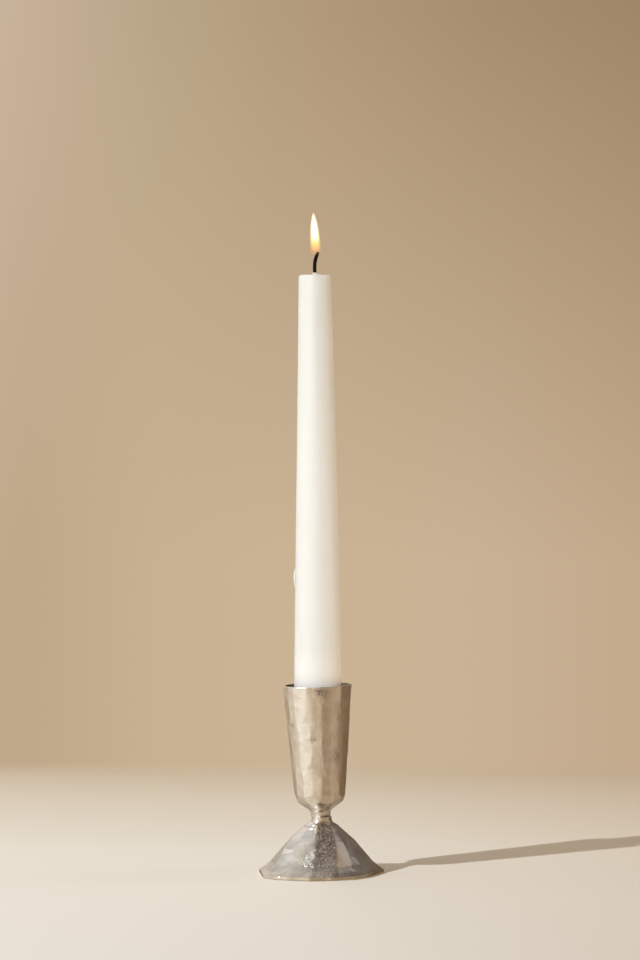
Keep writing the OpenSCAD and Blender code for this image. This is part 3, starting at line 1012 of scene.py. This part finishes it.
def makeWick(s):
    length = candleSet["length"]
    points = [(candleBow(h), h) for h in np.linspace(0.6, length + s["out"], 120)]
    bendAt, bend = length + s["out"], math.radians(s["bend"])
    for i in range(1, 13):
        a = bend * i / 12
        points.append((s["bendR"] * (1 - math.cos(a)), bendAt + s["bendR"] * math.sin(a)))
    endX, endZ = points[-1]
    points.append((endX + s["tip"] * math.sin(bend), endZ + s["tip"] * math.cos(bend)))
    mesh = bpy.data.meshes.new("wickPath")
    links = [(i, i + 1) for i in range(len(points) - 1)]
    mesh.from_pydata([(x * mm, 0, z * mm) for x, z in points], links, [])
    top = points[-1][1]
    setValues(mesh, "taper", [min(1.0, 0.72 + (top - z) * 0.14) for _, z in points])
    piece = runTree(addObject("wickPath", mesh), wickTree(), {
        "Strands": s["strands"], "Strand Radius": s["strandR"] * mm, "Orbit": s["orbit"] * mm,
        "Turns Per Metre": s["turnsPerMm"] / mm, "Spacing": s["spacing"] * mm, "Fuzz": s["fuzz"] * mm,
        "Material": charredCottonMaterial()}, "cottonWick", candlePlace)
    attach(piece, "candle")
    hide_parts("wick")
    print("wick wound:", len(piece.data.polygons), "faces")
    return piece


flameSet = {
    "bottom": 233.0,        # above the candle's foot
    "height": 20.35,
    "radius": 2.45,
    "shells": 6,
    "shrink": 0.14,
    "right": 0.55,          # the flame stands over the wick's bent tip and leans back over the candle
    "lean": -1.0,
    "sides": 40,
}


def flameR(t, s):
    # broad at the foot, drawn out to a point
    return s["radius"] * min(1.0, t / 0.12) ** 0.5 * (1 - t ** 2.6) ** 0.72


# what the outer shells and the inner ones glow with: colours, strength, then cover, by height
flameLooks = {
    "flameVeil": ([(0.1, (0.95, 0.42, 0.13)), (0.36, (1.0, 0.60, 0.22)), (0.6, (1.0, 0.80, 0.42))], 1.25,
                  [(0.02, 0.0), (0.14, 0.10), (0.36, 0.24), (0.6, 0.30)]),
    "flameHeart": ([(0.1, (0.95, 0.42, 0.14)), (0.32, (1.0, 0.68, 0.26)), (0.44, (1.0, 0.9, 0.66)),
                    (0.6, (1.0, 0.95, 0.82))], 2.1, [(0.04, 0.0), (0.16, 0.07), (0.32, 0.16), (0.46, 0.75)]),
}


def makeFlame(s):
    shells, steps = [], 36
    for k in range(s["shells"]):
        size = 1.0 - s["shrink"] * k
        rings = []
        for i in range(steps + 1):
            t = i / steps
            z = s["bottom"] + s["height"] * (0.05 * k + t * (1 - 0.075 * k))
            rings.append((0 if i in (0, steps) else max(flameR(t, s) * size, 0.02), z))

        def drift(h):
            return (s["right"] + s["lean"] * max(0.0, (h - s["bottom"]) / s["height"]) ** 1.3, 0.0)

        shell = lathe(f"flameShell{k}", rings, s["sides"], centre=drift)
        rise = [(v.co.z / mm - s["bottom"]) / s["height"] for v in shell.data.vertices]
        setValues(shell.data, "rise", rise)
        shells.append(shell)
    veil, heart = (flameMaterial(name, *look) for name, look in flameLooks.items())
    for k, shell in enumerate(shells):
        shell.data.materials.append(veil if k < 2 else heart)
        shell.data.transform(candlePlace)
        smoothAll(shell)
    bpy.ops.object.select_all(action="DESELECT")
    for shell in shells:
        shell.select_set(True)
    bpy.context.view_layer.objects.active = shells[0]
    bpy.ops.object.join()
    flame = bpy.context.view_layer.objects.active
    flame.name = "flame"
    flame.visible_shadow = False
    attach(flame, "candle")
    print("flame lit")
    return flame


feltSet = {"step": 0.8, "sides": 160, "nap": 0.08}


def makeFelt(s):
    low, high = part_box("felt_pad")
    r, t = (high[0] - low[0]) / 2 / mm, (high[2] - low[2]) / mm
    rings = [(0, 0.0)] + [(float(x), 0.0) for x in np.arange(s["step"], r - 0.4, s["step"])]
    rings += [(r - 0.15, 0.05), (r, 0.3), (r, t - 0.3), (r - 0.15, t - 0.05)]
    rings += [(float(x), t) for x in np.arange(r - 0.6, s["step"], -1.6)] + [(0, t)]
    ob = lathe("feltPad", rings, s["sides"])
    for v in ob.data.vertices:
        p = v.co / mm
        nap = noise.noise(Vector((p.x / 0.9, p.y / 0.9, p.z))) * s["nap"]
        if 0.02 < p.z < t - 0.02:
            v.co += Vector((p.x, p.y, 0)).normalized() * nap * mm
        elif p.z <= 0.02:
            v.co.z += abs(nap) * mm * 0.6
    ob.data.materials.append(feltMaterial())
    smoothAll(ob)
    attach(ob, "holder")
    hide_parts("felt_pad")
    return ob


def dressNodes():
    steel, iron = steelMaterial(), castIronMaterial()
    for name, metal in (("stud", steel), ("washer", steel), ("spring_washer", steel), ("nut", steel),
                        ("ballast", iron)):
        for slot in frame["nodes"][name].material_slots:
            slot.material = metal
    print("hardware dressed")


stageSet = {
    "back": (0.41, 0.50),       # the table fades into the room between these distances
    "sides": (0.95, 1.15),
    # the table's colour just in front of the holder and far behind it, part of its painted light falloff
    "near": (0.80, 0.765, 0.705),
    "far": (0.75, 0.65, 0.50),
    "keyFrom": (-54.0, 28.0),   # bearing and height of the key light, in degrees
    "keyFar": 1.9,
    "keyPower": 148.0,
    "silverFrom": (-62.0, 34.0),
    "silverShare": 0.6,
    "silverR": 0.16,
    "candleFrom": (-31.0, 28.0),
    "candleShare": 0.495,
    "candleTint": (0.885, 0.975, 1.06),
    "keyR": 0.022,
    "keyColour": (0.94, 0.99, 1.03),
    "fillFrom": (98.0, 3.0),
    "fillFar": 1.5,
    "fillUp": 0.1,
    "fillAim": 0.15,
    "fillPower": 8.0,
    "fillSize": 0.35,
    "fillColour": (1.0, 0.86, 0.68),
}


def direction(bearing, height):
    b, h = math.radians(bearing), math.radians(height)
    return Vector((math.sin(b) * math.cos(h), -math.cos(b) * math.cos(h), math.sin(h)))


def makeTable(s):
    far = s["sides"][1]
    mesh = bpy.data.meshes.new("tableTop")
    mesh.from_pydata([(-far, -far, 0), (far, -far, 0), (far, s["back"][1], 0), (-far, s["back"][1], 0)], [],
                     [(0, 1, 2, 3)])
    table = addObject("tableTop", mesh)
    mat, tree, shader, where = newMaterial("paleTable", Roughness=0.8, Specular_IOR_Level=0.2)
    x, y, _ = partsOf(tree, where)
    fade = remap(tree, y, -0.25, s["back"][1], 0.0, 1.0)
    # painted light falloff: the table is painted brightest just behind the holder, darker and warmer towards
    # the back and to the right, where the key light falls off
    depth = rampOf(tree, fade, [(0.0, (0.74, 0.705, 0.65)), (0.22, s["near"]), (0.45, (0.85, 0.81, 0.73)),
                                (0.72, (0.81, 0.735, 0.62)), (0.9, s["far"])])
    across = rampOf(tree, remap(tree, x, -0.15, 0.35, 0.0, 1.0),
                    [(0.0, (0.98, 0.98, 0.98)), (0.3, (1.0, 1.0, 1.0)), (0.55, (0.96, 0.93, 0.90)),
                     (1.0, (0.85, 0.78, 0.71))])
    ends = remap(tree, vecMaths(tree, "LENGTH", where), *s["sides"], 1.0, 0.0)
    cover = maths(tree, "MULTIPLY", remap(tree, y, *s["back"], 1.0, 0.0), ends)
    feed(tree, shader, {"Base Color": mixOf(tree, 1.0, depth, across, "MULTIPLY"), "Alpha": cover})
    mesh.materials.append(mat)
    table.visible_glossy = False  # the room's lower half stands in for it in the metal


# the room's colours in linear light, each at a bearing in degrees (0 is towards the camera, -90 left)
lowRing = [
    (-180, (0.56, 0.42, 0.28)), (-168, (0.26, 0.18, 0.11)), (-158, (0.28, 0.20, 0.12)),
    (-144, (0.51, 0.40, 0.285)), (-100, (0.68, 0.58, 0.46)), (-68, (1.0, 0.90, 0.76)),
    (-42, (0.89, 0.785, 0.64)), (-8, (0.61, 0.475, 0.325)), (30, (0.31, 0.215, 0.13)),
    (60, (0.47, 0.35, 0.23)), (85, (0.30, 0.20, 0.12)), (112, (0.205, 0.13, 0.07)),
    (150, (0.13, 0.08, 0.045)), (172, (0.50, 0.37, 0.24)), (180, (0.56, 0.42, 0.28))]
highRing = [
    (-180, (0.62, 0.54, 0.46)), (-160, (1.0, 0.93, 0.84)), (-132, (0.52, 0.49, 0.45)),
    (-108, (0.66, 0.63, 0.59)), (-90, (0.62, 0.59, 0.54)), (-50, (0.60, 0.52, 0.42)),
    (0, (0.46, 0.31, 0.17)), (60, (0.40, 0.27, 0.15)), (104, (0.47, 0.42, 0.38)),
    (117, (0.27, 0.24, 0.21)), (130, (0.12, 0.095, 0.08)), (145, (0.18, 0.145, 0.115)),
    (157, (0.085, 0.06, 0.04)), (180, (0.40, 0.32, 0.25))]
# the wall behind the table, low down and high up, by its share of the way across to the right
wallEdge = 0.15
wallLow = [
    (-0.145, (0.27, 0.19, 0.11)), (-0.12, (0.53, 0.40, 0.26)), (-0.105, (0.521, 0.392, 0.250)),
    (-0.058, (0.578, 0.440, 0.283)), (0.0, (0.597, 0.456, 0.301)), (0.058, (0.584, 0.440, 0.301)),
    (0.12, (0.54, 0.397, 0.262)), (0.145, (0.12, 0.08, 0.045))]
wallTop = [
    (-0.145, (1.15, 1.05, 0.95)), (-0.12, (0.59, 0.46, 0.34)), (-0.105, (0.565, 0.434, 0.314)),
    (-0.058, (0.479, 0.376, 0.242)), (0.0, (0.44, 0.314, 0.195)), (0.058, (0.386, 0.270, 0.159)),
    (0.12, (0.345, 0.237, 0.135)), (0.145, (0.12, 0.08, 0.045))]


def makeWorld():
    # a plain tan room: bright to the left, brown to the right, dim straight overhead
    world = bpy.data.worlds.new("tanRoom")
    world.use_nodes = True
    bpy.context.scene.world = world
    tree = world.node_tree
    look = addNode(tree, "ShaderNodeTexCoord").outputs["Generated"]
    x, y, z = partsOf(tree, look)
    bearing = maths(tree, "ARCTAN2", x, maths(tree, "MULTIPLY", y, -1.0))
    turn = remap(tree, bearing, -math.pi, math.pi, 0.0, 1.0)
    across = remap(tree, x, -wallEdge, wallEdge, 0.0, 1.0)
    low, high = (rampOf(tree, turn, [((a + 180) / 360, c) for a, c in rows]) for rows in (lowRing, highRing))
    wall = [rampOf(tree, across, [((a + wallEdge) / (2 * wallEdge), c) for a, c in rows])
            for rows in (wallLow, wallTop)]

    room = mixOf(tree, remap(tree, z, -0.02, 0.42, 0.0, 1.0), low, high)
    offset = vecMaths(tree, "SUBTRACT", look, (0.10, -0.06, 0.0))
    offset = vecMaths(tree, "MULTIPLY", offset, (1.0, 1.0, 0.0))
    dim = maths(tree, "MULTIPLY", remap(tree, vecMaths(tree, "LENGTH", offset), 0.26, 0.40, 1.0, 0.0),
                maths(tree, "GREATER_THAN", z, 0.0))
    room = mixOf(tree, dim, room, (0.046, 0.043, 0.043, 1.0))
    room = mixOf(tree, remap(tree, z, -0.22, -0.45, 0.0, 0.5), room, (0.50, 0.40, 0.28, 1.0))
    backdrop = mixOf(tree, remap(tree, z, -0.03, 0.1665, 0.0, 1.0), *wall)
    seen = maths(tree, "MULTIPLY", remap(tree, y, 0.962, 0.977, 0.0, 1.0),
                 remap(tree, maths(tree, "ABSOLUTE", z), 0.19, 0.32, 1.0, 0.0))
    feed(tree, tree.nodes["Background"], {"Color": mixOf(tree, seen, room, backdrop)})


def linkPieces(group, pieces, state):
    for piece in pieces:
        group.objects.link(piece)
    for row in group.collection_objects:
        row.light_linking.link_state = state


def litOnly(lamp, pieces, state):
    # the lamp lights only these pieces, or everything except them
    lamp.light_linking.receiver_collection = bpy.data.collections.new(lamp.name + "Reach")
    linkPieces(lamp.light_linking.receiver_collection, pieces, state)


def makeLamp(name, kind, power, colour, spot, target=Vector()):
    light = bpy.data.lights.new(name, kind)
    light.energy = power
    light.color = colour
    lamp = addObject(name, light)
    lamp.location = spot
    lamp.rotation_mode = "QUATERNION"
    lamp.rotation_quaternion = (spot - target).to_track_quat("Z", "Y")
    return lamp


def makeKey(s, name, share, colour, source, size):
    lamp = makeLamp(name, "SPOT", s["keyPower"] * share, colour, direction(*source) * s["keyFar"])
    lamp.data.shadow_soft_size = size
    lamp.data.spot_size = math.radians(75)
    return lamp


def makeLights(s, waxPieces, silverPieces):
    key = makeKey(s, "keyLight", 1.0, s["keyColour"], s["keyFrom"], s["keyR"])
    litOnly(key, waxPieces + silverPieces, "EXCLUDE")
    glint = makeKey(s, "silverKey", s["silverShare"], s["keyColour"], s["silverFrom"], s["silverR"])
    litOnly(glint, silverPieces, "INCLUDE")
    gentle = makeKey(s, "candleKey", s["candleShare"], s["candleTint"], s["candleFrom"], s["keyR"])
    litOnly(gentle, waxPieces, "INCLUDE")
    shade = bpy.data.collections.new("candleShade")  # the cup's rim throws no shadow on the wax
    gentle.light_linking.blocker_collection = shade
    linkPieces(shade, silverPieces, "EXCLUDE")

    spot = direction(*s["fillFrom"]) * s["fillFar"] + Vector((0, 0, s["fillUp"]))
    fill = makeLamp("lowFill", "AREA", s["fillPower"], s["fillColour"], spot, Vector((0, 0, s["fillAim"])))
    fill.data.size = s["fillSize"]
    fill.visible_camera = False
    fill.visible_glossy = False


cameraSet = {"right": -0.85, "far": 1265.0, "height": 180.0, "lens": 103.6}


def makeCamera(s):
    cam = bpy.data.cameras.new("camera")
    cam.lens = s["lens"]
    cam.sensor_width = 36.0
    cam.clip_end = 50
    ob = addObject("camera", cam)
    ob.location = (s["right"] * mm, -s["far"] * mm, s["height"] * mm)
    ob.rotation_euler = (math.radians(90), 0, 0)
    bpy.context.scene.camera = ob


bpy.context.scene.view_settings.view_transform = "Standard"
makeCamera(cameraSet)
makeWorld()
makeTable(stageSet)
print("stage set")

carving = carvingTree()
silverPieces = [makeCup(carving, cupSet), makeFoot(carving, footSet)]
waxPieces = [makeCandle(candleSet, waxMaterial("candleWax", candleSet["glowDepth"])),
             makeDrip(dripSet, waxMaterial("setWax", dripSet["glowDepth"]))]
makeLights(stageSet, waxPieces, silverPieces)
makeWick(wickSet)
makeFlame(flameSet)
makeFelt(feltSet)
dressNodes()
